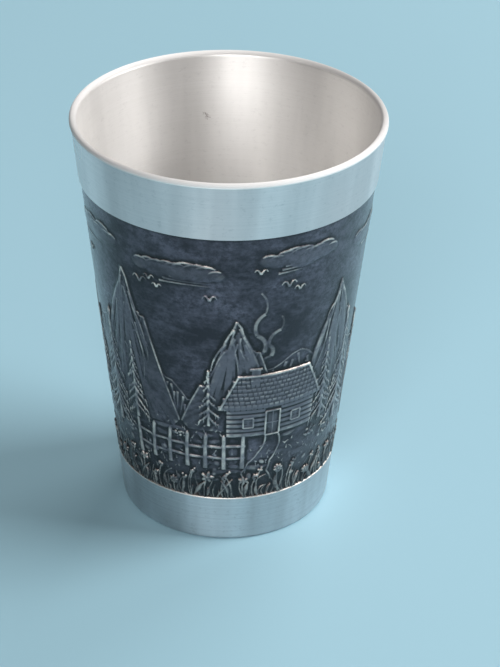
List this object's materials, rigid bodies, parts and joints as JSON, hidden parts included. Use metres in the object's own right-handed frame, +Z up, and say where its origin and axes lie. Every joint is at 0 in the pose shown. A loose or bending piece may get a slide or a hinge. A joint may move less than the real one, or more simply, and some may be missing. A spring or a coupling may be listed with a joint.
{
  "type": "pewter cup",
  "caption": "Tapered pewter beaker with a rounded lip, plain turned rim and foot bands and a dark relief field between them; it holds a cold drink.",
  "frame": {"origin": "centre of the foot's resting face, on the cup's axis", "axes": "+Z up along the cup's axis; the front of the picture field faces -Y and the sleeve's soldered seam faces +Y"},
  "size_m": [0.075, 0.075, 0.104],
  "materials": {
    "pewter_inside": "spun and polished pewter with fine turning lines",
    "pewter_bright": "turned bright pewter, satin",
    "pewter_patina": "cast pewter, darkened in the hollows and rubbed bright on the raised edges",
    "solder": "scraped soft solder"
  },
  "bodies": {
    "root": {"inner_wall": "pewter_inside", "rim_band": "pewter_bright", "relief_sleeve": "pewter_patina", "sleeve_seam": "solder", "foot_band": "pewter_bright", "base_plate": "pewter_bright", "base_solder": "solder"}
  },
  "joints": []
}
